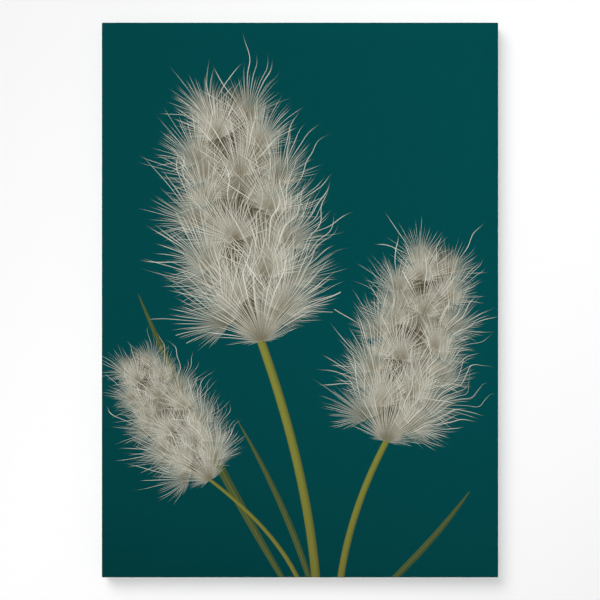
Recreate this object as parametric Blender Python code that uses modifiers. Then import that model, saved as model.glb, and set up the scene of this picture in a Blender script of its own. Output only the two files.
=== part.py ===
"""A canvas print on a keyed pine stretcher frame, ready to hang on a wall.

The panel stands as it hangs: +X is to the right seen from the front, +Z is up, and the printed face
looks along -Y. The wall is the plane y = 0. The origin is the point on that plane level with the
middle notch of the hanger, where the wall's nail carries the panel.
"""

import math

import bmesh
import bpy
from mathutils import Matrix, Vector

# Driving dimensions, in metres.
PANEL_WIDTH = 0.500
PANEL_HEIGHT = 0.700
GAP = 0.0003  # between pieces that touch
CLOTH = 0.0005  # thickness of the canvas
HEM = 0.030  # width of the canvas turned onto the back

BAR_WIDTH = 0.038
BAR_DEPTH = 0.018
BEAD = 0.004  # flat outer strip of a bar's front, the only part that the canvas touches
FACE_FALL = 0.0025  # how far the rest of the front slopes back towards the inner edge

FRONT_LIP = 0.005  # wood in front of the tongues at a corner
TONGUE = 0.0038  # thickness of each of the two tongues of a corner

KEY_INSIDE = 0.022  # length of a key within the joint
KEY_OUTSIDE = 0.014  # length of a key that stands out of the inner corner
KEY_TIP = 0.0025
KEY_END = 0.0105

STAPLE_CROWN = 0.0106
STAPLE_LEG = 0.006
STAPLE_WIRE = 0.0007
STAPLE_END = 0.040  # from the last staple of a row to the end of the panel
STAPLES_ACROSS = 8
STAPLES_UP = 10
STAPLE_TURN = math.radians(14)  # the most that a staple is turned from its row
STAPLE_TURN_STEP = 2.4  # radians of the sine that varies the turn, from one staple to the next

HANGER_LENGTH = 0.044
HANGER_HEIGHT = 0.009
HANGER_PLATE = 0.0008
HANGER_TAB = 0.008  # flat end that lies on the bar
HANGER_RISE = 0.0018  # how far the toothed middle stands off the tabs
TOOTH_PITCH = 0.003
TOOTH_DEPTH = 0.0018
TOOTH_NOTCHES = 7

NAIL_RADIUS = 0.0007
NAIL_LENGTH = 0.010
NAIL_HEAD_RADIUS = 0.0018
NAIL_HEAD = 0.0006  # thickness of the head
NAIL_SIDES = 16

BUMPER = 0.003  # thickness of a felt bumper
BUMPER_RADIUS = 0.008
BUMPER_SIDES = 32

# Depths that follow, along y, from the wall forwards.
HEM_BACK = -(BUMPER + GAP)
HEM_FRONT = HEM_BACK - CLOTH
BAR_BACK = HEM_FRONT - GAP
BAR_FRONT = BAR_BACK - BAR_DEPTH
FACE = BAR_FRONT - GAP - CLOTH

# Places that follow across the panel. A row is the middle line of a bar.
BAR_EDGE = CLOTH + GAP
ROW = BAR_EDGE + BAR_WIDTH / 2
NOTCH_DOWN = ROW + HANGER_HEIGHT / 2 - TOOTH_DEPTH
CENTRE_Z = NOTCH_DOWN - PANEL_HEIGHT / 2
BAR_LENGTH_ACROSS = PANEL_WIDTH - 2 * BAR_EDGE
BAR_LENGTH_UP = PANEL_HEIGHT - 2 * BAR_EDGE

# Depths in a corner, from the bars' front: the tongue of an across bar lies in front of that of an up bar.
ACROSS_TONGUE = (FRONT_LIP + GAP, FRONT_LIP + GAP + TONGUE)
UP_TONGUE = (ACROSS_TONGUE[1] + GAP, ACROSS_TONGUE[1] + GAP + TONGUE)
ACROSS_SLOT = (ACROSS_TONGUE[1], UP_TONGUE[1] + GAP)
UP_SLOT = (FRONT_LIP, UP_TONGUE[0])

# Each side of the panel: the turn about Y that takes the bottom side there, the distance of the
# panel's edge from its centre, and whether its bar runs across.
SIDES = {
    "bottom": (0, PANEL_HEIGHT / 2, True),
    "right": (-90, PANEL_WIDTH / 2, False),
    "top": (180, PANEL_HEIGHT / 2, True),
    "left": (90, PANEL_WIDTH / 2, False),
}

PAST = 0.002  # how far a cutter runs past the face that it cuts


def collection(name):
    made = bpy.data.collections.new(name)
    bpy.context.scene.collection.children.link(made)
    return made


def material(name, colour, roughness, metallic=0.0):
    made = bpy.data.materials.new(name)
    made.use_nodes = True
    made.diffuse_color = (*colour, 1.0)
    shader = made.node_tree.nodes["Principled BSDF"]
    shader.inputs["Base Color"].default_value = (*colour, 1.0)
    shader.inputs["Roughness"].default_value = roughness
    shader.inputs["Metallic"].default_value = metallic
    return made


def add_object(name, mesh, place, finish=None):
    """Puts a mesh in a collection, with its material or, for a cutter, hidden from the render."""
    made = bpy.data.objects.new(name, mesh)
    place.objects.link(made)
    if finish is None:
        made.hide_render = True
        made.display_type = "WIRE"
    else:
        made.data.materials.append(finish)
    return made


def mesh_from(name, shape):
    mesh = bpy.data.meshes.new(name)
    shape.to_mesh(mesh)
    shape.free()
    return mesh


def box_mesh(name, low, high):
    """A box between two opposite corners."""
    shape = bmesh.new()
    bmesh.ops.create_cube(shape, size=1.0)
    size = Vector(high) - Vector(low)
    bmesh.ops.scale(shape, vec=size, verts=shape.verts)
    bmesh.ops.translate(shape, vec=(Vector(high) + Vector(low)) / 2, verts=shape.verts)
    return mesh_from(name, shape)


def mesh_of_curve(name, curve):
    """The mesh of a curve's surface, with its seams and caps welded."""
    holder = bpy.data.objects.new(name, curve)
    bpy.context.scene.collection.objects.link(holder)
    bpy.context.view_layer.update()
    evaluated = holder.evaluated_get(bpy.context.evaluated_depsgraph_get())
    mesh = bpy.data.meshes.new_from_object(evaluated)
    bpy.data.objects.remove(holder)
    bpy.data.curves.remove(curve)
    mesh.name = name
    shape = bmesh.new()
    shape.from_mesh(mesh)
    bmesh.ops.remove_doubles(shape, verts=shape.verts, dist=1e-6)
    shape.to_mesh(mesh)
    shape.free()
    return mesh


def flat_curve(name, outline, closed):
    """A 2D curve through the points of an outline."""
    curve = bpy.data.curves.new(name, "CURVE")
    curve.dimensions = "2D" if closed else "3D"
    spline = curve.splines.new("POLY")
    spline.points.add(len(outline) - 1)
    for point, (x, y) in zip(spline.points, outline):
        point.co = (x, y, 0, 1)
    spline.use_cyclic_u = closed
    return curve


def prism_mesh(name, outline, low, high):
    """An outline in the X-Z plane as a plate from y = low to y = high."""
    curve = flat_curve(name, outline, closed=True)
    curve.fill_mode = "BOTH"
    curve.extrude = (high - low) / 2
    mesh = mesh_of_curve(name, curve)
    upright = Matrix.Rotation(math.radians(90), 4, "X")
    mesh.transform(Matrix.Translation((0, (low + high) / 2, 0)) @ upright)
    return mesh


def rod_mesh(name, radius, length, sides):
    """A straight round rod along y, with its middle at the origin."""
    shape = bmesh.new()
    bmesh.ops.create_cone(
        shape, cap_ends=True, segments=sides, radius1=radius, radius2=radius, depth=length
    )
    mesh = mesh_from(name, shape)
    mesh.transform(Matrix.Rotation(math.radians(90), 4, "X"))
    return mesh


def joined(name, meshes):
    """Several meshes as one."""
    shape = bmesh.new()
    for mesh in meshes:
        shape.from_mesh(mesh)
        bpy.data.meshes.remove(mesh)
    return mesh_from(name, shape)


def mirrored(name, mesh):
    """A copy of a mesh on the other side of the plane x = 0, facing out."""
    shape = bmesh.new()
    shape.from_mesh(mesh)
    bmesh.ops.scale(shape, vec=(-1, 1, 1), verts=shape.verts)
    bmesh.ops.reverse_faces(shape, faces=shape.faces)
    return mesh_from(name, shape)


def cut(piece, cutter):
    boolean = piece.modifiers.new("cut_" + cutter.name, "BOOLEAN")
    boolean.operation = "DIFFERENCE"
    boolean.solver = "EXACT"
    boolean.object = cutter


def side_matrix(side):
    """From a side's own frame to the panel: its x runs along the bar, its z from the panel's edge
    inwards, and its y from the bar's front to its back."""
    turn, reach, _ = SIDES[side]
    centre = Matrix.Translation((0, BAR_FRONT, CENTRE_Z))
    return centre @ Matrix.Rotation(math.radians(turn), 4, "Y") @ Matrix.Translation((0, 0, -reach))


def inner_corner(across):
    """The inner end of the mitre at the +X end of a bar, in the side's own x and z."""
    length = BAR_LENGTH_ACROSS if across else BAR_LENGTH_UP
    return Vector((length / 2 - BAR_WIDTH, BAR_EDGE + BAR_WIDTH))


def key_width(depth):
    """The width of a key at a depth into the joint, measured from the inner corner."""
    slope = (KEY_END - KEY_TIP) / (KEY_INSIDE + KEY_OUTSIDE)
    return KEY_TIP + slope * (KEY_INSIDE - depth)


def end_cutters(side):
    """What is cut away at both ends of a bar: the mitre in front and behind, and between them the slot
    that takes the other bar's tongue and key."""
    across = SIDES[side][2]
    corner = inner_corner(across)
    outer = corner + Vector((BAR_WIDTH, -BAR_WIDTH))
    mitre_shift = Vector((-1, -1)).normalized() * GAP / 2
    mate = [
        outer + mitre_shift + Vector((PAST, -PAST)),
        outer + Vector((PAST, BAR_WIDTH + PAST)),
        corner + mitre_shift + Vector((-PAST, PAST)),
    ]
    key_end = KEY_INSIDE + GAP
    slot = [
        outer + Vector((PAST, BAR_WIDTH + PAST)),
        corner + Vector((-2 * GAP - key_width(-PAST), PAST)),
        corner + Vector((-2 * GAP - key_width(key_end), -key_end)),
        corner + Vector((-GAP, -key_end)),
        corner + Vector((-GAP, -BAR_WIDTH - PAST)),
        outer + Vector((PAST, -PAST)),
    ]
    slot_front, slot_back = ACROSS_SLOT if across else UP_SLOT
    front = ACROSS_TONGUE[0] if across else slot_front + GAP
    back = slot_back - GAP if across else UP_TONGUE[1]
    plates = [
        prism_mesh(f"{side}_mitre_front", mate, -PAST, front),
        prism_mesh(f"{side}_slot", slot, slot_front, slot_back),
        prism_mesh(f"{side}_mitre_back", mate, back, BAR_DEPTH + PAST),
    ]
    return plates + [mirrored(plate.name, plate) for plate in plates]


def stretcher_bar(side, holes):
    """One bar, with a front that slopes away from its bead, tongues and slots at its ends, and the
    holes that the staples and nails have made."""
    across = SIDES[side][2]
    half = (BAR_LENGTH_ACROSS if across else BAR_LENGTH_UP) / 2
    mesh = box_mesh(f"{side}_bar", (-half, 0, BAR_EDGE), (half, BAR_DEPTH, BAR_EDGE + BAR_WIDTH))
    shape = bmesh.new()
    shape.from_mesh(mesh)
    bmesh.ops.bisect_plane(
        shape,
        geom=shape.verts[:] + shape.edges[:] + shape.faces[:],
        plane_co=(0, 0, BAR_EDGE + BEAD),
        plane_no=(0, 0, 1),
    )
    for vertex in shape.verts:
        if vertex.co.y < BAR_DEPTH / 2 and vertex.co.z > BAR_EDGE + BAR_WIDTH / 2:
            vertex.co.y += FACE_FALL
    shape.to_mesh(mesh)
    shape.free()
    bar = add_object(f"{side}_stretcher_bar", mesh, parts, pine)
    bar.matrix_world = side_matrix(side)
    for plate in end_cutters(side):
        cutter = add_object(plate.name, plate, cutters)
        cutter.matrix_world = side_matrix(side)
        cut(bar, cutter)
    cut(bar, holes)
    return bar


def corner_keys(side):
    """The two keys that lie along a bar's inner edge, one at each end."""
    across = SIDES[side][2]
    tongue = ACROSS_TONGUE if across else UP_TONGUE
    corner = inner_corner(across) + Vector((0, GAP))
    outline = [
        corner + Vector((-KEY_OUTSIDE, 0)),
        corner + Vector((KEY_INSIDE, 0)),
        corner + Vector((KEY_INSIDE, KEY_TIP)),
        corner + Vector((-KEY_OUTSIDE, KEY_END)),
    ]
    right = prism_mesh("key", outline, *tongue)
    for end, mesh in (("a", right), ("b", mirrored("key", right))):
        key = add_object(f"{side}_key_{end}", mesh, parts, key_wood)
        key.matrix_world = side_matrix(side)


def staple_places():
    """(name, matrix) of each staple. In its own frame x runs along the crown, and y = 0 is the outside
    of the hem, with the wall on the +y side."""
    driven = 0
    for side, (_, _, across) in SIDES.items():
        count = STAPLES_ACROSS if across else STAPLES_UP
        reach = (PANEL_WIDTH if across else PANEL_HEIGHT) / 2 - STAPLE_END
        for i in range(count):
            driven += 1
            turn = STAPLE_TURN * math.sin(STAPLE_TURN_STEP * driven)
            spot = Matrix.Translation((-reach + 2 * reach * i / (count - 1), HEM_BACK - BAR_FRONT, ROW))
            turned = side_matrix(side) @ spot @ Matrix.Rotation(turn, 4, "Y")
            yield f"{side}_staple_{i + 1:02d}", turned


def staple_mesh():
    """A U of square wire: the crown lies on the hem and the legs run into the wood."""
    half, wire = STAPLE_CROWN / 2, STAPLE_WIRE
    outline = [
        (-half, GAP + wire),
        (half, GAP + wire),
        (half, -STAPLE_LEG),
        (half - wire, -STAPLE_LEG),
        (half - wire, GAP),
        (wire - half, GAP),
        (wire - half, -STAPLE_LEG),
        (-half, -STAPLE_LEG),
    ]
    mesh = prism_mesh("staple", outline, -wire / 2, wire / 2)
    mesh.transform(Matrix.Rotation(math.radians(-90), 4, "X"))
    return mesh


def staple_hole_meshes():
    """The two holes of each staple, a gap wider than its legs all round."""
    low = STAPLE_CROWN / 2 - STAPLE_WIRE - GAP
    high = STAPLE_CROWN / 2 + GAP
    across = STAPLE_WIRE / 2 + GAP
    for name, matrix in staple_places():
        for start, end in ((low, high), (-high, -low)):
            hole = box_mesh(name, (start, -STAPLE_LEG - GAP, -across), (end, PAST / 4, across))
            hole.transform(matrix)
            yield hole


def nail_places():
    """Where the hanger's nails stand: the middle of each tab, on the outside of the hem."""
    reach = (HANGER_LENGTH - HANGER_TAB) / 2
    for name, x in (("left", -reach), ("right", reach)):
        yield name, Vector((x, HEM_BACK, CENTRE_Z + PANEL_HEIGHT / 2 - ROW))


def nail_hole_meshes():
    length = NAIL_LENGTH + 2 * PAST
    for name, place in nail_places():
        hole = rod_mesh(name, NAIL_RADIUS + GAP, length, NAIL_SIDES)
        hole.transform(Matrix.Translation(place + Vector((0, 2 * PAST - length / 2, 0))))
        yield hole


def hanger_nail(name, place):
    """A round nail, turned about the line that it is driven along."""
    plate_back = GAP + HANGER_PLATE + GAP
    profile = [
        (0, plate_back + NAIL_HEAD),
        (NAIL_HEAD_RADIUS * 0.6, plate_back + NAIL_HEAD),
        (NAIL_HEAD_RADIUS, plate_back + NAIL_HEAD * 0.4),
        (NAIL_HEAD_RADIUS, plate_back),
        (NAIL_RADIUS, plate_back),
        (NAIL_RADIUS, plate_back + 2 * NAIL_RADIUS - NAIL_LENGTH),
        (0, plate_back - NAIL_LENGTH),
    ]
    shape = bmesh.new()
    points = [shape.verts.new((x, 0, z)) for x, z in profile]
    for start, end in zip(points, points[1:]):
        shape.edges.new((start, end))
    nail = add_object(f"hanger_nail_{name}", mesh_from("nail", shape), parts, nail_steel)
    turned = nail.modifiers.new("turned", "SCREW")
    turned.axis = "Z"
    turned.steps = turned.render_steps = NAIL_SIDES
    turned.use_merge_vertices = True
    turned.merge_threshold = 1e-5
    nail.location = place
    nail.rotation_euler.x = math.radians(-90)


def sawtooth_hanger():
    """A bent steel strip: two nailed tabs and a raised middle with notches along its lower edge."""
    half = HANGER_LENGTH / 2
    lie = GAP + HANGER_PLATE / 2
    ramp = half - HANGER_TAB - HANGER_RISE
    path = [
        (-half, lie),
        (HANGER_TAB - half, lie),
        (-ramp, lie + HANGER_RISE),
        (ramp, lie + HANGER_RISE),
        (half - HANGER_TAB, lie),
        (half, lie),
    ]
    ribbon = flat_curve("hanger", path, closed=False)
    ribbon.extrude = HANGER_HEIGHT / 2
    hanger = add_object("sawtooth_hanger", mesh_of_curve("hanger", ribbon), parts, hanger_steel)
    hanger.location = (0, HEM_BACK, CENTRE_Z + PANEL_HEIGHT / 2 - ROW)
    plate = hanger.modifiers.new("plate", "SOLIDIFY")
    plate.thickness = HANGER_PLATE
    plate.offset = 0
    plate.use_even_offset = True
    reach = TOOTH_NOTCHES * TOOTH_PITCH / 2
    below = -HANGER_HEIGHT / 2 - PAST
    teeth = [(-reach, below), (-reach, -HANGER_HEIGHT / 2 - GAP)]
    for i in range(TOOTH_NOTCHES):
        start = -reach + i * TOOTH_PITCH
        teeth.append((start + TOOTH_PITCH / 2, -HANGER_HEIGHT / 2 + TOOTH_DEPTH))
        teeth.append((start + TOOTH_PITCH, -HANGER_HEIGHT / 2 - GAP))
    teeth.append((reach, below))
    cutter = add_object("teeth", prism_mesh("teeth", teeth, -PAST, 3 * PAST), cutters)
    cutter.location = hanger.location
    cut(hanger, cutter)
    cut(hanger, nail_holes)


def felt_bumper(name, x):
    disc = rod_mesh("bumper", BUMPER_RADIUS, BUMPER, BUMPER_SIDES)
    bumper = add_object(f"felt_bumper_{name}", disc, parts, felt)
    bumper.location = (x, -BUMPER / 2, CENTRE_Z - PANEL_HEIGHT / 2 + ROW)


def printed_canvas(holes):
    """The canvas as stretched: a tray round the bars whose rim is turned in over their back."""
    mesh = box_mesh(
        "canvas",
        (-PANEL_WIDTH / 2, FACE, CENTRE_Z - PANEL_HEIGHT / 2),
        (PANEL_WIDTH / 2, HEM_BACK, CENTRE_Z + PANEL_HEIGHT / 2),
    )
    shape = bmesh.new()
    shape.from_mesh(mesh)
    back = max(shape.faces, key=lambda face: face.calc_center_median().y)
    bmesh.ops.inset_individual(shape, faces=[back], thickness=HEM, depth=0.0)
    bmesh.ops.delete(shape, geom=[back], context="FACES_ONLY")
    shape.to_mesh(mesh)
    shape.free()
    canvas = add_object("printed_canvas", mesh, parts, canvas_print)
    cloth = canvas.modifiers.new("cloth", "SOLIDIFY")
    cloth.thickness = CLOTH
    cloth.offset = -1
    cloth.use_even_offset = True
    cut(canvas, holes)


for leftover in list(bpy.data.objects):
    bpy.data.objects.remove(leftover)

parts = collection("canvas_wall_print")
cutters = collection("cutters")

canvas_print = material("canvas_print", (0.03, 0.12, 0.12), 0.8)
pine = material("pine", (0.72, 0.52, 0.31), 0.6)
key_wood = material("key_wood", (0.62, 0.43, 0.25), 0.6)
staple_steel = material("staple_steel", (0.66, 0.66, 0.64), 0.35, 1.0)
hanger_steel = material("hanger_steel", (0.74, 0.73, 0.70), 0.35, 1.0)
nail_steel = material("nail_steel", (0.74, 0.73, 0.70), 0.35, 1.0)
felt = material("felt", (0.20, 0.20, 0.20), 0.95)

nail_holes = add_object("nail_holes", joined("nail_holes", nail_hole_meshes()), cutters)
all_holes = [*staple_hole_meshes(), *nail_hole_meshes()]
fastener_holes = add_object("fastener_holes", joined("fastener_holes", all_holes), cutters)

for side in SIDES:
    stretcher_bar(side, fastener_holes)
    corner_keys(side)

staple = staple_mesh()
for name, matrix in staple_places():
    add_object(name, staple.copy(), parts, staple_steel).matrix_world = matrix

for name, place in nail_places():
    hanger_nail(name, place)
sawtooth_hanger()
for name, direction in (("left", -1), ("right", 1)):
    felt_bumper(name, direction * (PANEL_WIDTH / 2 - ROW))
printed_canvas(fastener_holes)
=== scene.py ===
# %% [markdown]
# # A canvas print as it hangs
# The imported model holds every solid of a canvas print: four pine stretcher bars, eight wooden
# keys, the staples, a sawtooth hanger with two nails, two felt bumpers and the canvas itself.
# This lesson gives them their looks. The soft parts, canvas and felt, are modelled again with
# their folds and fibres. The hard parts keep their shape and get a finish. A wall, a floor and
# soft light come last.

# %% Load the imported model
import math

import bmesh
import bpy
import numpy as np
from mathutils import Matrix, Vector


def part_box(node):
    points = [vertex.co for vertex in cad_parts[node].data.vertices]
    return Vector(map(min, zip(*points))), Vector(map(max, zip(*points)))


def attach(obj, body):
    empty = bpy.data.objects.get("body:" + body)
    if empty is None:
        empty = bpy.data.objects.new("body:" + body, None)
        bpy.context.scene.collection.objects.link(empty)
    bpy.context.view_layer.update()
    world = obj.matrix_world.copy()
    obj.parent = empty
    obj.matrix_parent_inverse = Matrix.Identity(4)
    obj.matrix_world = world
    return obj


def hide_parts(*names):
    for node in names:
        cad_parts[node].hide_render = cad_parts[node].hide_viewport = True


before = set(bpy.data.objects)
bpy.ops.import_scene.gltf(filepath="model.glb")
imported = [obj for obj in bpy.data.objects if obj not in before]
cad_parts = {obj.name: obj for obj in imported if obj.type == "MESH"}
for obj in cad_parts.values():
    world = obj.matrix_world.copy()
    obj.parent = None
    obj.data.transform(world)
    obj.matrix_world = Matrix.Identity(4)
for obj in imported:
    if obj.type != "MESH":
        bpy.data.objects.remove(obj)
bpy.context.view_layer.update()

# %% Measure the solids that the new pieces follow
CANVAS_LOW, CANVAS_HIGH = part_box("printed_canvas")
FACE = CANVAS_LOW.y
HEM_BACK = CANVAS_HIGH.y
MIDDLE = (CANVAS_LOW + CANVAS_HIGH) / 2
HALF_WIDTH = (CANVAS_HIGH.x - CANVAS_LOW.x) / 2
HALF_HEIGHT = (CANVAS_HIGH.z - CANVAS_LOW.z) / 2
SIDE = HEM_BACK - FACE
print(f"face {2 * HALF_WIDTH:.3f} x {2 * HALF_HEIGHT:.3f} m, sides {1000 * SIDE:.1f} mm deep")

# %% [markdown]
# ## The cloth
# The canvas is one sheet, 600 x 800 mm before it was stretched. It covers the face, turns round
# the sides and ends as a 30 mm hem on the back. It could be draped by simulation, but a canvas
# is pulled tight over straight bars, so its shape is a tray. A box is opened at the back, its
# edges are rounded as cloth rounds a bar, and each corner gets the pleat of a folded wrap: a 45
# degree fold that starts at the corner of the face, crosses the side and runs on over the back.

# %% Helpers for edit mode
TOUCH = 1e-5  # what lies this near to a line or a plane is on it
MERGE = 1e-6  # points this near to each other become one


def begin(name):
    """Name the new primitive, apply its place and open it in edit mode with nothing selected."""
    piece = bpy.context.object
    piece.name = piece.data.name = name
    bpy.ops.object.transform_apply(location=True, rotation=True, scale=True)
    bpy.ops.object.mode_set(mode="EDIT")
    bpy.ops.mesh.select_all(action="DESELECT")
    return piece


def pick(piece, kind, test):
    """Select the edges or faces whose centre passes the test. A face's normal is passed too."""
    bpy.ops.mesh.select_mode(type={"edges": "EDGE", "faces": "FACE"}[kind])
    bpy.ops.mesh.select_all(action="DESELECT")
    shape = bmesh.from_edit_mesh(piece.data)
    shape.normal_update()
    chosen = 0
    for part in getattr(shape, kind):
        if kind == "edges":
            found = test((part.verts[0].co + part.verts[1].co) / 2)
        else:
            found = test(part.calc_center_median(), part.normal)
        part.select_set(bool(found))
        chosen += bool(found)
    shape.select_flush_mode()
    bmesh.update_edit_mesh(piece.data)
    return chosen


def faces_in_edit(piece):
    return len(bmesh.from_edit_mesh(piece.data).faces)


def clear_selection():
    bpy.ops.object.select_all(action="DESELECT")

# %% A box opened at the back, with a hem
HEM = 0.030

clear_selection()
bpy.ops.mesh.primitive_cube_add(
    size=1, location=MIDDLE, scale=(2 * HALF_WIDTH, SIDE, 2 * HALF_HEIGHT)
)
cloth = begin("wrapped_canvas")
pick(cloth, "faces", lambda centre, normal: normal.y > 0.9)
bpy.ops.mesh.inset(thickness=HEM)
bpy.ops.mesh.delete(type="ONLY_FACE")
print("faces of the open box:", faces_in_edit(cloth))

# %% Round the edges
FOLD_RADIUS = 0.0012


def on_outer_edge(centre):
    """Whether a point lies on one of the twelve edges of the box."""
    to_side = abs(abs(centre.x) - HALF_WIDTH) < TOUCH
    to_end = abs(abs(centre.z - MIDDLE.z) - HALF_HEIGHT) < TOUCH
    to_depth = min(abs(centre.y - FACE), abs(centre.y - HEM_BACK)) < TOUCH
    return to_side + to_end + to_depth == 2


rounded = pick(cloth, "edges", on_outer_edge)
bpy.ops.mesh.bevel(offset=FOLD_RADIUS, segments=3, affect="EDGES")
print("edges rounded:", rounded)

# %% Fold lines and a grid over the whole cloth
GRID = 0.025
CORNER_SIDE, CORNER_BACK = 0.05, 0.08  # a fold line runs this far from its corner at most
HEM_ROOM = HEM + 0.001
FOLD_TURN = HALF_WIDTH - SIDE  # x at which a fold passes from the side onto the back


def slice_all(place, normal):
    bpy.ops.mesh.select_all(action="SELECT")
    bpy.ops.mesh.bisect(plane_co=place, plane_no=normal, threshold=MERGE)


def slice_near(test, place, normal):
    """Cut only the faces that pass the test."""
    if pick(cloth, "faces", test):
        bpy.ops.mesh.bisect(plane_co=place, plane_no=normal, threshold=MERGE)


for step in range(1, round(2 * HALF_WIDTH / GRID)):
    slice_all((step * GRID - HALF_WIDTH, 0, 0), (1, 0, 0))
for step in range(1, round(2 * HALF_HEIGHT / GRID)):
    slice_all((0, 0, MIDDLE.z - HALF_HEIGHT + step * GRID), (0, 0, 1))
for end in (1, -1):
    edge_z = MIDDLE.z + end * HALF_HEIGHT
    for side in (1, -1):
        slice_near(
            lambda c, n: (c.z - edge_z) * end > -0.9 * FOLD_RADIUS
            and c.y > FACE + FOLD_RADIUS * 0.5
            and c.x * side > HALF_WIDTH - CORNER_SIDE,
            (side * HALF_WIDTH, FACE, 0),
            (side, 1, 0),
        )
        slice_near(
            lambda c, n: n.y > 0.9
            and (c.z - edge_z) * end > -HEM_ROOM
            and c.x * side > HALF_WIDTH - CORNER_BACK,
            (side * FOLD_TURN, 0, edge_z - end * FOLD_RADIUS),
            (side, 0, -end),
        )
print("faces after slicing:", faces_in_edit(cloth))

# %% Where a pleat lies, and how high
PLEAT = 0.0007  # two folded layers of cloth under the fold
PLEAT_REACH = 0.030
PLEAT_START = 0.004  # it rises over this depth, from the rounded edge of the face


def past_fold(c, end, side):
    """Distance from a fold line towards the middle of the side or hem, negative in the corner."""
    down = max(0.0, -(c.z - MIDDLE.z - end * HALF_HEIGHT) * end - FOLD_RADIUS)
    depth = min(c.y - FACE, SIDE) + down
    return (HALF_WIDTH - depth - c.x * side) / math.sqrt(2)


def pleat_face(c, n, end, side):
    """Whether a face lies in a pleat's upper layer or just past it, where the layer comes down."""
    on_side = n.z * end > 0.3 and c.y > FACE + FOLD_RADIUS * 0.9
    on_hem = n.y > 0.3 and (c.z - MIDDLE.z) * end > HALF_HEIGHT - HEM_ROOM
    past = past_fold(c, end, side)
    return (on_side or on_hem) and 0 < past < PLEAT_REACH + GRID and c.x * side > 0


def pleat_rise(point, end, side):
    """How far the upper layer stands off at a point."""
    rise = PLEAT * max(0.0, 1 - past_fold(point, end, side) / PLEAT_REACH) ** 1.5
    return rise * min(1.0, max(0.0, (point.y - FACE - FOLD_RADIUS) / PLEAT_START))


# %% Raise the upper layer of each pleat
raised = 0
for end in (1, -1):
    for side in (1, -1):
        raised += pick(cloth, "faces", lambda c, n: pleat_face(c, n, end, side))
        bpy.ops.mesh.extrude_region_move()  # the new layer lies on the old until it is moved
        shape = bmesh.from_edit_mesh(cloth.data)
        moves = {}
        for vertex in shape.verts:
            if vertex.select:
                normal = sum((f.normal for f in vertex.link_faces if f.select), Vector())
                moves[vertex] = normal.normalized() * pleat_rise(vertex.co, end, side)
        for vertex, move in moves.items():
            vertex.co += move
        bmesh.update_edit_mesh(cloth.data)
bpy.ops.mesh.select_all(action="SELECT")
bpy.ops.mesh.remove_doubles(threshold=5 * MERGE)
bpy.ops.mesh.normals_make_consistent(inside=False)
bpy.ops.object.mode_set(mode="OBJECT")
print("faces:", len(cloth.data.polygons), "of them raised for the pleats:", raised)

# %% [markdown]
# The picture, the weave and the primed margin all follow the cloth round its folds, so every
# corner of every face needs its place on the flat cut. It could be unwrapped by an operator,
# but the folds are straight, so the place is found by adding up how far a point lies beyond
# each fold.

# %% Flat places on the cut
def flat_place(point, centre, normal):
    """Where a point of the wrapped cloth lay on the flat sheet, in metres from its middle."""
    x, z = point.x - MIDDLE.x, point.z - MIDDLE.z
    if normal.y < -0.99:  # a face of the front, which lies as it was cut
        return x, z
    depth = min(max(point.y - FACE, 0.0), SIDE)
    turned = -1 if depth > SIDE / 2 else 1
    flat_x = math.copysign(HALF_WIDTH + depth + turned * (abs(x) - HALF_WIDTH), x)
    flat_z = math.copysign(HALF_HEIGHT + depth + turned * (abs(z) - HALF_HEIGHT), z)
    to_end, to_side = HALF_HEIGHT - abs(centre.z - MIDDLE.z), HALF_WIDTH - abs(centre.x)
    return (x, flat_z) if to_end < to_side else (flat_x, z)


cut_map = cloth.data.uv_layers.new(name="cut")
for face in cloth.data.polygons:
    for corner in face.loop_indices:
        point = cloth.data.vertices[cloth.data.loops[corner].vertex_index].co
        cut_map.data[corner].uv = flat_place(point, face.center, face.normal)
reach = np.abs([place.uv for place in cut_map.data]).max(axis=0)
print("cut reaches", reach.round(4), "m from the middle")

# %% Slack in the face
SLACK, SLACK_WAVE = 0.0012, 0.16
HELD, LET_GO = 0.02, 0.06  # flat over the bars for the first, then ever looser over the second

slack = bpy.data.textures.new("slack", "CLOUDS")
slack.noise_scale = SLACK_WAVE
free = cloth.vertex_groups.new(name="free_of_the_bars")
for vertex in cloth.data.vertices:
    inside = min(HALF_WIDTH - abs(vertex.co.x), HALF_HEIGHT - abs(vertex.co.z - MIDDLE.z))
    in_front = vertex.co.y < FACE + 10 * TOUCH
    weight = min(1.0, max(0.0, (inside - HELD) / LET_GO)) if in_front else 0.0
    free.add([vertex.index], weight, "REPLACE")
clear_selection()
cloth.select_set(True)
bpy.context.view_layer.objects.active = cloth
wave = cloth.modifiers.new("slack", "DISPLACE")
wave.texture, wave.direction, wave.vertex_group = slack, "Y", free.name
wave.texture_coords, wave.strength, wave.mid_level = "LOCAL", SLACK, 0.5
bpy.ops.object.modifier_apply(modifier=wave.name)
swell = max(FACE - vertex.co.y for vertex in cloth.data.vertices)
print(f"the face swells out by up to {1000 * swell:.2f} mm")

# %% Thickness of the cloth
CLOTH = 0.0005

thick = cloth.modifiers.new("thick", "SOLIDIFY")
thick.thickness, thick.offset = CLOTH, -1
thick.material_offset = thick.material_offset_rim = 1
for finish in ("printed_side", "raw_side"):
    cloth.data.materials.append(bpy.data.materials.new(finish))
bpy.ops.object.modifier_apply(modifier=thick.name)
bpy.ops.object.shade_smooth_by_angle(angle=math.radians(50))
cloth.vertex_groups.clear()
print("faces with both sides:", len(cloth.data.polygons))

# %% A second map that gives the printed side most of its room
PRINT_SHARE, PRINT_MIDDLE = 1.2, (0.372, 0.5)  # map units a metre, and where its middle lies
BACK_SHARE, BACK_MIDDLE = 0.40, (0.87, 0.5)

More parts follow.
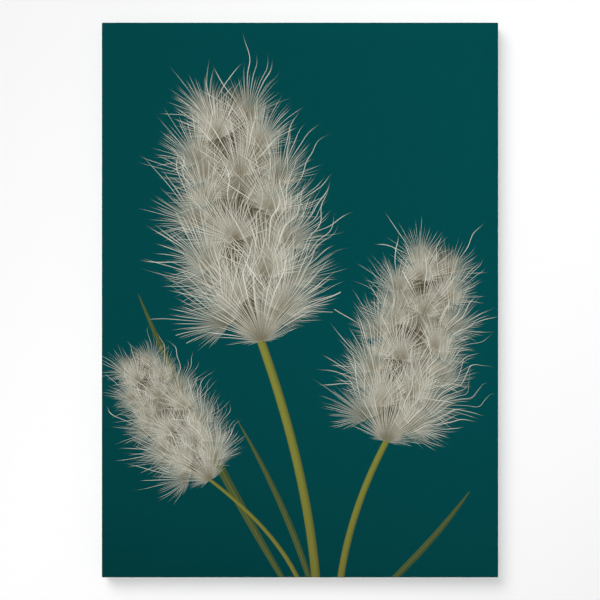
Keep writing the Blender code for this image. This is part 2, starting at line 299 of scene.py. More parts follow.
bake_map = cloth.data.uv_layers.new(name="OFBake")
cut_map = cloth.data.uv_layers["cut"]
for face in cloth.data.polygons:
    raw = face.material_index == 1
    share, middle = (BACK_SHARE, BACK_MIDDLE) if raw else (PRINT_SHARE, PRINT_MIDDLE)
    for corner in face.loop_indices:
        across, up = cut_map.data[corner].uv
        bake_map.data[corner].uv = (middle[0] + share * across, middle[1] + share * up)
bake_map.active_render = True
cloth.data.uv_layers.active = bake_map
wide, tall = 2 * PRINT_SHARE * reach
print(f"the printed side fills {wide:.2f} x {tall:.2f} of the map")

# %% What the cloth stands for
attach(cloth, "root")
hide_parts("printed_canvas")
bars = ["bottom_stretcher_bar", "right_stretcher_bar", "top_stretcher_bar", "left_stretcher_bar"]
print("cloth of", round(sum(face.area for face in cloth.data.polygons), 3), "m2, both sides")

# %% [markdown]
# ## Building materials from small parts
# A finish is a small program: it takes the place of a point and works out a colour, a roughness
# and a height. Laid out by hand, that is hundreds of nodes, so a few helpers place them. A
# `Wire` stands for a number on its way through a node tree, and plain arithmetic on wires adds
# the Math nodes.

# %% Wires
class Wire:
    """A number in a node tree. Arithmetic with other wires or plain numbers adds Math nodes."""

    def __init__(self, tree, socket):
        self.tree, self.socket = tree, socket

    def math(self, operation, *others):
        made = self.tree.nodes.new("ShaderNodeMath")
        made.operation = operation
        for socket, value in zip(made.inputs, (self, *others)):
            feed(self.tree, socket, value)
        return Wire(self.tree, made.outputs[0])

    def __add__(self, other):
        return self.math("ADD", other)

    def __sub__(self, other):
        return self.math("SUBTRACT", other)

    def __mul__(self, other):
        return self.math("MULTIPLY", other)

    def __truediv__(self, other):
        return self.math("DIVIDE", other)

    def __pow__(self, other):
        return self.math("POWER", other)

    def __rsub__(self, other):
        return self.math("MULTIPLY", -1.0) + other

    def absolute(self):
        return self.math("ABSOLUTE")

    def kept(self, low, high):
        """The number, held between low and high."""
        return self.math("MAXIMUM", low).math("MINIMUM", high)

    def smooth(self, low, high):
        """0 below low, 1 above high and a smooth step between. Low may be above high."""
        return ranged(self, low, high, 0.0, 1.0, "SMOOTHSTEP")


# %% Nodes
def feed(tree, socket, value):
    """Link a wire or another node's socket to this socket, or set it to a plain value."""
    if isinstance(value, Wire):
        tree.links.new(value.socket, socket)
    elif isinstance(value, bpy.types.NodeSocket):
        tree.links.new(value, socket)
    else:
        socket.default_value = value


def add(tree, kind, inputs=None, output=0, **settings):
    """Add a node, set its properties, feed its inputs by name or number, and return one output."""
    made = tree.nodes.new("ShaderNode" + kind)
    for name, value in settings.items():
        setattr(made, name, value)
    for name, value in (inputs or {}).items():
        feed(tree, made.inputs[name], value)
    return Wire(tree, made.outputs[output])


def ranged(wire, low, high, to_low, to_high, kind="LINEAR"):
    """Map low..high of a wire to to_low..to_high, and hold it there beyond both ends."""
    names = ("Value", "From Min", "From Max", "To Min", "To Max")
    inputs = dict(zip(names, (wire, low, high, to_low, to_high)))
    made = add(wire.tree, "MapRange", inputs, interpolation_type=kind, clamp=False)
    return made if kind != "LINEAR" else made.kept(min(to_low, to_high), max(to_low, to_high))


def vector(tree, x=0.0, y=0.0, z=0.0):
    return add(tree, "CombineXYZ", {"X": x, "Y": y, "Z": z})


def split(tree, source):
    """The x, y and z of a vector, as three wires."""
    made = tree.nodes.new("ShaderNodeSeparateXYZ")
    feed(tree, made.inputs[0], source)
    return [Wire(tree, socket) for socket in made.outputs]


def noise(tree, place, scale, detail=2.0):
    return add(tree, "TexNoise", {"Vector": place, "Scale": scale, "Detail": detail})


def drawn_noise(tree, x, y, z=0.0, detail=2.0):
    """Noise that is drawn out: each coordinate comes multiplied by its own number of changes."""
    return noise(tree, vector(tree, x, y, z), 1.0, detail)


def blend(tree, share, first, second, kind="RGBA"):
    """Mix two colours, or two vectors. Share is the part of the second."""
    one, other, mixed = {"RGBA": (6, 7, 2), "VECTOR": (4, 5, 1)}[kind]
    return add(tree, "Mix", {0: share, one: first, other: second}, mixed, data_type=kind)


def bump(tree, height, distance, strength):
    return add(tree, "Bump", {"Height": height, "Distance": distance, "Strength": strength})


def rgb(red, green, blue):
    """A colour given in the 0 to 255 steps of a paint chart, as the shader's linear numbers."""
    parts = [c / 255 for c in (red, green, blue)]
    return (*[p / 12.92 if p < 0.04045 else ((p + 0.055) / 1.055) ** 2.4 for p in parts], 1.0)


# %% Groups and finishes
def group(name, inputs, outputs):
    """An empty node group with named sockets: its tree, its input wires and its end's sockets."""
    tree = bpy.data.node_groups.new(name, "ShaderNodeTree")
    for direction, sockets in (("INPUT", inputs), ("OUTPUT", outputs)):
        for socket, kind in sockets.items():
            tree.interface.new_socket(socket, in_out=direction, socket_type="NodeSocket" + kind)
    source, end = tree.nodes.new("NodeGroupInput"), tree.nodes.new("NodeGroupOutput")
    wires = {s.name: Wire(tree, s) for s in source.outputs if s.name}
    return tree, wires, end.inputs


def floats(*names):
    """Sockets with these names, for plain numbers."""
    return dict.fromkeys(names, "Float")


def count_nodes(name):
    print("group", name, "with", len(bpy.data.node_groups[name].nodes), "nodes")


def place_group(tree, name, **inputs):
    """Put a group in a tree and return its outputs by name."""
    made = tree.nodes.new("ShaderNodeGroup")
    made.node_tree = bpy.data.node_groups[name]
    for socket, value in inputs.items():
        feed(tree, made.inputs[socket], value)
    return {s.name: Wire(tree, s) for s in made.outputs}


def finish_of(name, metallic=0.0, specular=0.5):
    """A material with only a Principled shader, and its tree and sockets."""
    made = bpy.data.materials.get(name) or bpy.data.materials.new(name)
    made.use_nodes = True
    tree = made.node_tree
    shader = tree.nodes["Principled BSDF"]
    shader.inputs["Metallic"].default_value = metallic
    shader.inputs["Specular IOR Level"].default_value = specular
    print("finish", name)
    return made, tree, shader.inputs

# %% [markdown]
# ## Canvas weave
# Cotton canvas is a plain weave of threads about 0.6 mm apart, each going over one and under
# the next. With the cosines of both directions that is one short formula: a cosine's size is
# the thread's round back, and the product of the two cosines lifts one thread where it dips the
# other. A perfect grid looks printed, so slow noise sways the threads, and noise drawn out
# along them makes them uneven.

# %% The weave group
THREAD = 0.0006
SWAY, UNEVEN, SLUB = (35, 120), (260, 1700), (60, 900)  # changes a metre, along and across


def build_weave():
    tree, wires, ends = group("canvas_weave", {"Place": "Vector"}, floats("Height", "Slub"))
    x, y, _ = split(tree, wires["Place"])
    waves, backs, slubs = [], [], []
    for along, across, seed in ((y, x, 3.0), (x, y, 17.0)):
        sway = drawn_noise(tree, along * SWAY[0], across * SWAY[1], seed, detail=1.0)
        wave = ((across / THREAD + sway * 3.0) * math.pi).math("COSINE")
        uneven = drawn_noise(tree, along * UNEVEN[0], across * UNEVEN[1], seed + 1.0, detail=1.0)
        waves.append(wave)
        backs.append(wave.absolute() * (uneven * 0.9 + 0.15))
        slubs.append(drawn_noise(tree, along * SLUB[0], across * SLUB[1], seed + 2.0, detail=1.0))
    over = waves[0] * waves[1] * 0.35
    height = (backs[0] + over).math("MAXIMUM", backs[1] - over)
    feed(tree, ends["Height"], height.kept(0.0, 1.0))
    feed(tree, ends["Slub"], ranged(slubs[0].math("MAXIMUM", slubs[1]), 0.55, 0.78, 0.0, 1.0))


build_weave()
count_nodes("canvas_weave")

# %% [markdown]
# ## The picture
# The print is a plant study on deep teal: pale hare's-tail grass on olive stems. It is worked
# out from the flat place on the cut, so it needs no picture file and runs on round the sides by
# itself. A head of this grass is a few hundred soft bristles in tufts. Drawing each one would
# take a mesh of its own, so a tuft is a fan: the angle round its root picks a bristle, and the
# distance runs along it.

# %% One fan of bristles
# The fan works on plain numbers throughout, and its noise runs along a line: turning numbers into
# vectors in the middle of so many nodes would make the renderer hold more of them than it can.
FAN_SPREAD = 1.15  # at 1 the bristles fill half a disc
QUARTER_TURN = 1.57
TINY = 0.0001  # keeps a divisor or the base of a power off 0


def line_noise(tree, place, detail=0.0):
    """Noise along a line, which takes a plain number as its place."""
    inputs = {"W": place, "Scale": 1.0, "Detail": detail}
    return add(tree, "TexNoise", inputs, noise_dimensions="1D")


def build_fan():
    tree, wires, ends = group(
        "bristle_fan",
        floats("Across", "Up", "Reach", "Lean", "Bend", "Count", "Seed"),
        floats("Mask", "Along", "Tone"),
    )
    across, up, seed = wires["Across"], wires["Up"], wires["Seed"]
    far = (across * across + up * up).math("SQRT")
    angle = across.math("ARCTAN2", up) + wires["Lean"] + wires["Bend"] * far
    turn = angle * wires["Count"]
    strand = line_noise(tree, turn + far * 1.5 + seed * 37.0, detail=1.0)
    chance = line_noise(tree, turn * 0.55 + seed * 61.0)
    narrow = (angle * (1 / FAN_SPREAD)).kept(-QUARTER_TURN, QUARTER_TURN).math("COSINE")
    length = wires["Reach"] * (chance * chance * 1.3 + 0.62) * (narrow + TINY) ** 0.6
    along = far / (length + TINY)
    gap = ranged(along, 0.15, 1.0, 0.36, 0.66)  # a bristle thins, so the gap beside it widens
    hair = ((strand - gap) * 10.0).smooth(0.0, 1.0)
    feed(tree, ends["Mask"], hair * along.smooth(1.0, 0.8))
    feed(tree, ends["Along"], along)
    feed(tree, ends["Tone"], chance)


build_fan()
count_nodes("bristle_fan")

# %% The tufts of a head
# The tufts stand in a spiral, each a golden angle on from the last, as they do on the real stalk.
TUFTS = 29
GOLDEN_ANGLE = math.radians(137.5)


def tufts():
    """(side, front, height) of each tuft, those at the back first and then from the top down."""
    made = []
    for number in range(TUFTS):
        turn = number * GOLDEN_ANGLE
        made.append((math.sin(turn), math.cos(turn), number / (TUFTS - 1)))
    return sorted(made, key=lambda tuft: (tuft[1] > -0.2, -tuft[2]))


# %% Colours of a bristle
# Each is a pair: how it looks in the shade, and in the light.
ROOT_DARK, ROOT_PALE = ((72, 60, 40), (98, 84, 60)), ((138, 126, 102), (166, 156, 132))
TIP_DARK, TIP_PALE = ((166, 163, 146), (200, 197, 180)), ((218, 215, 200), (248, 245, 232))
HEART_DARK, HEART_PALE = rgb(86, 70, 46), rgb(128, 116, 92)


def between(low, high, share):
    return low + (high - low) * share


def lit(pair, light):
    """The colour of a pair in a given light, from 0 to 1."""
    return rgb(*(between(shade, full, light) for shade, full in zip(*pair)))


# %% A head of grass
# Up runs from 0 to 1 along its axis, Across is in the same units, and the seed picks its bristles.
HEART_WIDTH = 0.20  # half the width of the dense middle, which is the head's heart
ROOT_SPREAD = 0.165  # how far from the axis the tufts stand where the head is widest
REACH_LOW, REACH_HIGH = 0.27, 0.18  # length of the bristles at the foot of the head and at its top
LEAN_LOW, LEAN_HIGH = 0.75, 0.30  # how far those of the outer tufts turn outwards, in radians
BRISTLES = 38.0  # how closely a fan is set with them
HEART_COVER, FAN_COVER = 0.95, 0.86  # how much each hides what lies behind it


def build_head():
    tree, wires, ends = group(
        "grass_head", floats("Across", "Up", "Seed"), {"Color": "Color", "Alpha": "Float"}
    )
    across, up, seed = wires["Across"], wires["Up"], wires["Seed"]
    bend = (line_noise(tree, up * 4.0 + across * 3.0 + seed, detail=1.0) - 0.5) * 2.0
    rise = up.kept(0.0, 1.0)
    width = (rise * (1.02 - rise) * 4).math("MAXIMUM", 0.0) ** 0.5 * HEART_WIDTH + 0.001
    edge = across.absolute() / width + (line_noise(tree, up * 23.0 + seed) - 0.5) * 0.5
    inside = edge.smooth(1.0, 0.5) * up.smooth(-0.01, 0.06) * up.smooth(1.0, 0.88)
    colour = blend(tree, edge.smooth(0.0, 0.9), HEART_DARK, HEART_PALE)
    alpha = inside * HEART_COVER
    for number, (side, front, height) in enumerate(tufts()):
        root_up = 0.03 + 0.84 * height
        round_off = math.sqrt(4 * (0.08 + 0.87 * height) * (0.92 - 0.87 * height))
        fan = place_group(
            tree, "bristle_fan",
            Across=across - side * (ROOT_SPREAD * round_off),
            Up=up - (root_up - 0.02 * front),
            Reach=between(REACH_LOW, REACH_HIGH, height),
            Lean=-side * between(LEAN_LOW, LEAN_HIGH, height),
            Bend=bend, Count=BRISTLES, Seed=seed + 3.7 * number,
        )
        light = 0.5 + 0.5 * front
        deep = blend(tree, fan["Tone"], lit(ROOT_DARK, light), lit(ROOT_PALE, light))
        pale = blend(tree, fan["Tone"], lit(TIP_DARK, light), lit(TIP_PALE, light))
        hair = blend(tree, fan["Along"].smooth(0.0, 0.55), deep, pale)
        cover = fan["Mask"] * FAN_COVER
        colour = blend(tree, cover, colour, hair)
        alpha = alpha + cover - alpha * cover
    feed(tree, ends["Color"], colour)
    feed(tree, ends["Alpha"], alpha)


build_head()
count_nodes("grass_head")

# %% What grows in the picture
# Each head is its foot on the stem, its tilt in degrees, its length and the seed of its bristles.
HEADS = [
    (-0.048, -0.055, 9, 0.335, 1.0),
    (0.108, -0.180, -15, 0.265, 5.0),
    (-0.112, -0.228, 33, 0.195, 9.0),
]
HEAD_REACH = (0.42, 0.62)  # half of its width and length with the bristles, for a length of 1
STEM_FOOT = (0.030, -0.42)
STEM_WIDTH = 0.034  # for a head with a length of 1
# Each leaf is its foot, its tip, how far it bows and its width.
LEAVES = [
    ((0.020, -0.42), (-0.205, 0.010), -0.045, 0.013),
    ((0.042, -0.42), (0.215, -0.240), 0.045, 0.012),
    ((0.030, -0.42), (-0.080, -0.150), 0.050, 0.009),
]
GROUND_DEEP, GROUND_LIGHT = rgb(0, 48, 49), rgb(1, 71, 74)
STEM_DEEP, STEM_LIGHT, STEM_SHADE = rgb(112, 102, 40), rgb(140, 142, 52), rgb(64, 62, 22)
LEAF_LIGHT, LEAF_SHADE, LEAF_RIB = rgb(92, 96, 40), rgb(44, 62, 34), rgb(146, 146, 72)


# %% Stems
def stem(x, y, head, width):
    """Mask and tone of a stem that leaves the foot of the picture and bends to a head's tilt."""
    foot_x, foot_y = STEM_FOOT[0] + head[0] * 0.15, STEM_FOOT[1]
    rise = (y - foot_y) / (head[1] - foot_y)
    lean = -math.tan(math.radians(head[2])) * (head[1] - foot_y)
    run = head[0] - foot_x
    line = rise * rise * (rise * (lean - run) + (2 * run - lean)) + foot_x
    off = (x - line) / (width / 2)
    below = (y - head[1]).smooth(0.012, 0.0)
    return off.absolute().smooth(1.08, 0.86) * below, off


def paint_stems(tree, x, y, streak, olive, colour):
    """Lay the stems over a colour, that of the smallest head first."""
    for head in sorted(HEADS, key=lambda one: one[3]):
        mask, off = stem(x, y, head, STEM_WIDTH * head[3])
        shade = (off + 0.25).absolute().smooth(0.2, 1.3) * 0.6 + (streak - 0.5) * 0.4
        shaded = blend(tree, shade.kept(0.0, 1.0), olive, STEM_SHADE)
        colour = blend(tree, mask, colour, shaded)
    return colour


# %% Leaves
def leaf(x, y, foot, tip, sag, width):
    """Mask and cross position of a slender blade from foot to tip, bowed sideways by sag."""
    rise = ((y - foot[1]) / (tip[1] - foot[1])).kept(0.0, 1.0)
    line = rise * (tip[0] - foot[0]) + rise * (1.0 - rise) * sag + foot[0]
    half = (rise * math.pi).math("SINE").kept(0.0, 1.0) ** 0.7 * (width / 2) + 0.0002
    off = (x - line) / half
    return off.absolute().smooth(1.0, 0.8) * rise.smooth(1.0, 0.985), off


def paint_leaves(tree, x, y, streak, colour):
    """Lay the leaves over a colour."""
    for foot, tip, sag, width in LEAVES:
        mask, off = leaf(x, y, foot, tip, sag, width)
        rib = off.absolute().smooth(0.18, 0.0) * 0.35
        tone = (off * 0.3 + 0.4 + (streak - 0.5) * 0.6).kept(0.0, 1.0)
        blade = blend(tree, tone, LEAF_LIGHT, LEAF_SHADE)
        colour = blend(tree, mask * 0.92, colour, blend(tree, rib, blade, LEAF_RIB))
    return colour


# %% Heads
# One head group serves all three, because a point is drawn only by the head that it lies nearest.
def in_nearest_head(tree, x, y):
    """Across, up and the seed of a point, as seen from the nearest head."""
    chosen = nearest = None
    for foot_x, foot_y, tilt, length, seed in HEADS:
        seen_from = {
            "Vector": vector(tree, x, y), "Location": (foot_x, foot_y, 0.0),
            "Rotation": (0.0, 0.0, math.radians(tilt)), "Scale": (length,) * 3,
        }
        across, up, _ = split(tree, add(tree, "Mapping", seen_from, vector_type="TEXTURE"))
        away = (across / HEAD_REACH[0]) ** 2.0 + ((up - 0.5) / HEAD_REACH[1]) ** 2.0
        seeded = vector(tree, across, up, seed)
        if chosen is None:
            chosen, nearest = seeded, away
            continue
        closer = away.math("LESS_THAN", nearest)
        chosen = blend(tree, closer, chosen, seeded, "VECTOR")
        nearest = away.math("MINIMUM", nearest)
    return split(tree, chosen)


# %% The whole picture
def build_picture():
    tree, wires, ends = group("picture", {"Place": "Vector"}, {"Color": "Color"})
    x, y, _ = split(tree, wires["Place"])
    # The ground grows lighter towards the upper right, with faint clouds in it.
    light = y.smooth(-0.55, 0.0) * 0.68 + x * 0.66 + 0.16
    cloud = noise(tree, wires["Place"], 4.0)
    light = (light + (cloud - 0.5) * 0.15).kept(0.0, 1.0)
    colour = blend(tree, light, GROUND_DEEP, GROUND_LIGHT)
    streak = drawn_noise(tree, x * 900, y * 25)
    olive = blend(tree, light, STEM_DEEP, STEM_LIGHT)
    colour = paint_leaves(tree, x, y, streak, colour)
    colour = paint_stems(tree, x, y, streak, olive, colour)
    across, up, seed = in_nearest_head(tree, x, y)
    head = place_group(tree, "grass_head", Across=across, Up=up, Seed=seed)
    feed(tree, ends["Color"], blend(tree, head["Alpha"], colour, head["Color"]))


build_picture()
count_nodes("picture")
print("heads:", len(HEADS), "tufts a head:", TUFTS)

# %% [markdown]
# ## The two sides of the cloth
# The printed side is inkjet ink on a matte primer: no gloss, and the weave just shows through.
# The ink stops a little way onto the hem, where the white primer is left bare. The other side
# is raw cotton with its slubs and the small brown flecks of seed husk. Both could be flat
# colours with a rough surface, but the threads and the ragged end of the ink are what tells
# canvas from paper, so both read the weave, at the point's place on the cut.

# %% Printed side
INK_END, INK_FADE = 0.0085, 0.0006  # how far the ink runs onto the hem, and how soon it ends
RAGGED = 0.0006
WORN_EDGE, WORN_RISE = 0.0016, 900.0  # width of the worn edge, and how fast the wear sets in
PRIMER, BARE_COTTON, THIN_INK = rgb(236, 233, 224), rgb(186, 168, 136), rgb(12, 90, 92)


def printed_side():
    _, tree, shader = finish_of("printed_side", specular=0.015)
    place = add(tree, "UVMap", uv_map="cut")
    weave = place_group(tree, "canvas_weave", Place=place)
    picture = place_group(tree, "picture", Place=place)
    x, y, _ = split(tree, place)
    beyond = (x.absolute() - HALF_WIDTH).math("MAXIMUM", y.absolute() - HALF_HEIGHT)
    ragged = beyond + noise(tree, place, 900.0) * RAGGED
    inked = ragged.smooth(SIDE + INK_END, SIDE + INK_END - INK_FADE)
    thin = weave["Slub"] * 0.10 + weave["Height"] * 0.16
    ink = blend(tree, thin, picture["Color"], THIN_INK)
    worn = ((ragged - (SIDE + HEM - WORN_EDGE)) * WORN_RISE).kept(0.0, 1.0) * weave["Height"]
    primer = blend(tree, worn, PRIMER, BARE_COTTON)
    feed(tree, shader["Base Color"], blend(tree, inked, primer, ink))
    feed(tree, shader["Roughness"], ranged(weave["Height"], 0.0, 1.0, 0.9, 0.78))
    threads = weave["Height"] + weave["Slub"] * 0.3
    feed(tree, shader["Normal"], bump(tree, threads, distance=0.00012, strength=0.8))


printed_side()

# %% Raw side
COTTON_DEEP, COTTON_PALE = rgb(218, 207, 183), rgb(234, 226, 207)
SHADE_BETWEEN_THREADS, THICK_THREAD, HUSK = rgb(178, 161, 131), rgb(240, 233, 216), rgb(120, 92, 60)


def raw_side():
    _, tree, shader = finish_of("raw_side", specular=0.15)
    place = add(tree, "UVMap", uv_map="cut")
    weave = place_group(tree, "canvas_weave", Place=place)
    soft = blend(tree, noise(tree, place, 14.0), COTTON_DEEP, COTTON_PALE)
    # Painted shade: the cotton is darker between the threads, where the weave lies in shadow.
    woven = blend(tree, weave["Height"].smooth(0.1, 0.85), SHADE_BETWEEN_THREADS, soft)
    slubbed = blend(tree, weave["Slub"] * 0.5, woven, THICK_THREAD)
    husk = add(tree, "TexVoronoi", {"Vector": place, "Scale": 140.0, "Randomness": 1.0})
    fleck = husk.smooth(0.07, 0.04) * noise(tree, place, 30.0).smooth(0.52, 0.6)
    feed(tree, shader["Base Color"], blend(tree, fleck * 0.8, slubbed, HUSK))
    shader["Roughness"].default_value = 0.95
    threads = weave["Height"] + weave["Slub"] * 0.4
    feed(tree, shader["Normal"], bump(tree, threads, distance=0.0002, strength=0.8))


raw_side()

# %% [markdown]
# ## Pine and hardwood
# Planed pine shows its year rings as bands: wide and wavy on the broad faces, straight on the
# edges, curved on the end grain. A picture of a board can't do that on every face, so the grain
# is solid. It is the distance from the heart of the tree, bent by slow noise along the bar, and
# knots push it aside.

# %% The grain group
PITH = (0.035, 0.012)  # how far the heart of the tree lies from a bar's middle
WANDER = 0.030  # how far that distance changes along a bar
# How far each part of a knot reaches from its middle, if knots stand a length of 1 apart.
KNOT_PUSH, KNOT_RIM, KNOT_EDGE, KNOT_HEART = 0.45, 0.17, 0.13, 0.10
KNOT_DEEP, KNOT_PALE, KNOT_RING = rgb(96, 56, 28), rgb(136, 86, 46), rgb(150, 100, 56)


def build_grain():
    tree, wires, ends = group(
        "wood_grain",
        {"Place": "Vector", "Early": "Color", "Late": "Color", "Ring": "Float", "Knots": "Float"},
        {"Color": "Color", "Height": "Float", "Dry": "Float"},
    )
    x, y, z = split(tree, wires["Place"])
    slow = vector(tree, x * 3, y * 14, z * 14)
    knot_place = vector(tree, x * 5, y * 14, z * 14)
    knot_map = add(tree, "TexVoronoi", {"Vector": knot_place, "Scale": 1.0})
    near_knot = knot_map.smooth(KNOT_PUSH, 0.0) * wires["Knots"]
    sway = (noise(tree, slow, 1.0, detail=1.0) - 0.5) * WANDER
    out = (y + PITH[0] + sway) ** 2.0 + (z + PITH[1] + sway) ** 2.0
    rings = (out.math("SQRT") + near_knot * 0.008) / wires["Ring"]
    phase = rings.math("FRACT")
    late = phase.smooth(0.35, 0.9) * phase.smooth(1.0, 0.93)
    fibre = drawn_noise(tree, x * 35, y * 1400, z * 1400)
    tone = drawn_noise(tree, x * 6, y * 60, z * 60)
    band = (late * 0.75 + (fibre - 0.5) * 0.5 + (tone - 0.5) * 0.35).kept(0.0, 1.0)
    wood = blend(tree, band, wires["Early"], wires["Late"])
    knot = knot_map.smooth(KNOT_EDGE, KNOT_HEART) * wires["Knots"]
    rim = knot_map.smooth(KNOT_RIM, KNOT_EDGE) * wires["Knots"]
    heart = blend(tree, fibre, KNOT_DEEP, KNOT_PALE)
    wood = blend(tree, rim * 0.55, wood, KNOT_RING)
    feed(tree, ends["Color"], blend(tree, knot * 0.9, wood, heart))
    feed(tree, ends["Height"], fibre * 0.7 + late * 0.3 - knot * 0.3)
    feed(tree, ends["Dry"], ranged(fibre, 0.2, 0.8, 0.62, 0.78) - knot * 0.2)


build_grain()
count_nodes("wood_grain")

# %% Wooden finishes
PINE = {"Early": rgb(226, 192, 143), "Late": rgb(190, 139, 84), "Ring": 0.0034, "Knots": 1.0}
HARDWOOD = {"Early": rgb(206, 170, 124), "Late": rgb(158, 116, 76), "Ring": 0.0019, "Knots": 0.0}


def wooden(name, turned, offset, wood):
    """A wood whose grain runs along X, or along Z when turned. The offset picks the board."""
    made, tree, shader = finish_of(name, specular=0.3)
    place = add(tree, "TexCoord", output="Object")
    turn = (0.0, math.radians(90) if turned else 0.0, 0.0)
    board = add(tree, "Mapping", {"Vector": place, "Location": offset, "Rotation": turn})
    grain = place_group(tree, "wood_grain", Place=board, **wood)
    feed(tree, shader["Base Color"], grain["Color"])
    feed(tree, shader["Roughness"], grain["Dry"])
    feed(tree, shader["Normal"], bump(tree, grain["Height"], distance=0.00012, strength=0.7))
    return made


# %% Helpers for the hard parts
def give(node, material):
    """Put one material in every slot of a hard part."""
    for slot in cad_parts[node].material_slots:
        slot.material = material


def ease_edges(node, width):
    """Soften a solid's edges with live modifiers. Its own mesh stays as it is."""
    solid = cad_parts[node]
    weld = solid.modifiers.new("weld", "WELD")
    weld.merge_threshold = MERGE
    flat = solid.modifiers.new("flat", "DECIMATE")
    flat.decimate_type, flat.angle_limit = "DISSOLVE", math.radians(0.5)
    ease = solid.modifiers.new("ease", "BEVEL")
    ease.width, ease.segments, ease.limit_method = width, 2, "ANGLE"
    ease.angle_limit, ease.harden_normals = math.radians(40), False


# %% Finish the bars and the keys
BOARD_STEP = 0.31  # each bar is sawn this much further along, so that no two look alike
KEY_BOARD = (0.1, 0, 0.2)  # where the keys are cut from

for number, bar in enumerate(bars):
    low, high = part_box(bar)
    upright = high.z - low.z > high.x - low.x
    middle = (low + high) / 2
    offset = (BOARD_STEP * number, -middle.y, middle.x if upright else -middle.z)
    give(bar, wooden(f"pine_{bar.split('_')[0]}", upright, offset, PINE))
    ease_edges(bar, width=0.0004)
    print(bar, "upright" if upright else "across")
key_wood = {
    upright: wooden(f"key_wood_{'up' if upright else 'across'}", upright, KEY_BOARD, HARDWOOD)
    for upright in (False, True)
}
for key in sorted(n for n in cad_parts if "_key_" in n):
    give(key, key_wood[key.startswith(("left", "right"))])
    ease_edges(key, width=0.0003)

# %% [markdown]
# ## Zinc-plated steel
# Staples, hanger and nails are steel under a thin zinc coat: a mirror by nature, but dulled by
# fine scratches, a cloudy tarnish and the crystals of the zinc. A single roughness would look
# like grey paint, so one group works the three out, and each finish gives it a tint and a
# scale.

# %% The zinc group
TARNISH, CRYSTAL = rgb(150, 150, 146), rgb(205, 206, 204)


def build_zinc():
    tree, wires, ends = group(
        "zinc",
        {"Place": "Vector", "Tint": "Color"},
        {"Color": "Color", "Roughness": "Float", "Height": "Float"},
    )
    place = wires["Place"]
    x, y, z = split(tree, place)
    crystal = add(tree, "TexVoronoi", {"Vector": place, "Scale": 900.0}, feature="SMOOTH_F1")
    cloud = noise(tree, place, 260.0, detail=4.0)
    scratch = drawn_noise(tree, x * 90, y * 4000, z * 4000, detail=1.0)
    dull = ranged(cloud, 0.35, 0.7, 0.0, 1.0)
    colour = blend(tree, dull * 0.45, wires["Tint"], TARNISH)
    feed(tree, ends["Color"], blend(tree, crystal * 0.25, colour, CRYSTAL))
    feed(tree, ends["Roughness"], dull * 0.22 + scratch * 0.16 + 0.14)
    feed(tree, ends["Height"], scratch * 0.6 + crystal * 0.4)


build_zinc()
count_nodes("zinc")

# %% Three zinc finishes
def zinced(name, tint, scale):
    """Zinc over steel. A larger scale makes its crystals and scratches finer."""
    made, tree, shader = finish_of(name, metallic=1.0)
    place = add(tree, "TexCoord", output="Object")
    scaled = add(tree, "Mapping", {"Vector": place, "Scale": (scale,) * 3})
    zinc = place_group(tree, "zinc", Place=scaled, Tint=tint)
    feed(tree, shader["Base Color"], zinc["Color"])
    feed(tree, shader["Roughness"], zinc["Roughness"])
    feed(tree, shader["Normal"], bump(tree, zinc["Height"], distance=0.00002, strength=0.5))
    return made


staple_steel = zinced("staple_steel", tint=rgb(205, 206, 203), scale=1.6)
hanger_steel = zinced("hanger_steel", tint=rgb(222, 220, 214), scale=1.0)
nail_steel = zinced("nail_steel", tint=rgb(214, 210, 200), scale=1.4)
staples = [node for node in sorted(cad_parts) if "_staple_" in node]
for node in staples:
    give(node, staple_steel)
give("sawtooth_hanger", hanger_steel)
ease_edges("sawtooth_hanger", width=0.00012)
for node in ("hanger_nail_left", "hanger_nail_right"):
    give(node, nail_steel)
print("staples:", len(staples))

# %% [markdown]
# ## Felt bumpers
# A bumper is a disc die-cut from pressed wool felt, so its rim is a little ragged and its edge
# rounds over. A disc is inset and subdivided until it has enough points, then its edge is eased
# and its surface pushed in and out by fine noise.

# %% Felt finish
FELT_DEEP, FELT_PALE, FIBRE = rgb(92, 92, 94), rgb(128, 128, 130), rgb(176, 175, 173)
ALONG, ACROSS = 900, 5200  # how often the felt changes in a metre, along a fibre and across it


def felted():
    """Pressed wool, with fibres in three directions over a cloudy grey."""
    made, tree, shader = finish_of("grey_felt", specular=0.1)
    place = add(tree, "TexCoord", output="Object")
    x, y, z = split(tree, place)
    mats = [
        drawn_noise(tree, x * a, y * b, z * c, detail=3.0)
        for a, b, c in ((ACROSS, ACROSS, ALONG), (ALONG, ACROSS, ACROSS), (ACROSS, ALONG, ACROSS))
    ]
    fibres = mats[0].math("MAXIMUM", mats[1]).math("MAXIMUM", mats[2])
    tone = noise(tree, place, 700.0, detail=3.0)
    grey = blend(tree, ranged(tone, 0.3, 0.7, 0.0, 1.0), FELT_DEEP, FELT_PALE)
    feed(tree, shader["Base Color"], blend(tree, ranged(fibres, 0.5, 0.8, 0.0, 0.8), grey, FIBRE))
    shader["Roughness"].default_value = 1.0
    shader["Sheen Weight"].default_value = 0.4
    shader["Sheen Roughness"].default_value = 0.6
    feed(tree, shader["Normal"], bump(tree, fibres + tone, distance=0.0004, strength=1.0))
    return made


grey_felt = felted()

# %% Two discs of felt
PILE, PILE_GRAIN = 0.0003, 0.0009
PILE_ROOM = 0.0002  # the disc is this much smaller than the bumper, and its pile fills the rest
RINGS = (0.0012, 0.002, 0.002, 0.0018)  # widths of the rings that give an end its points
RIM = 0.0006

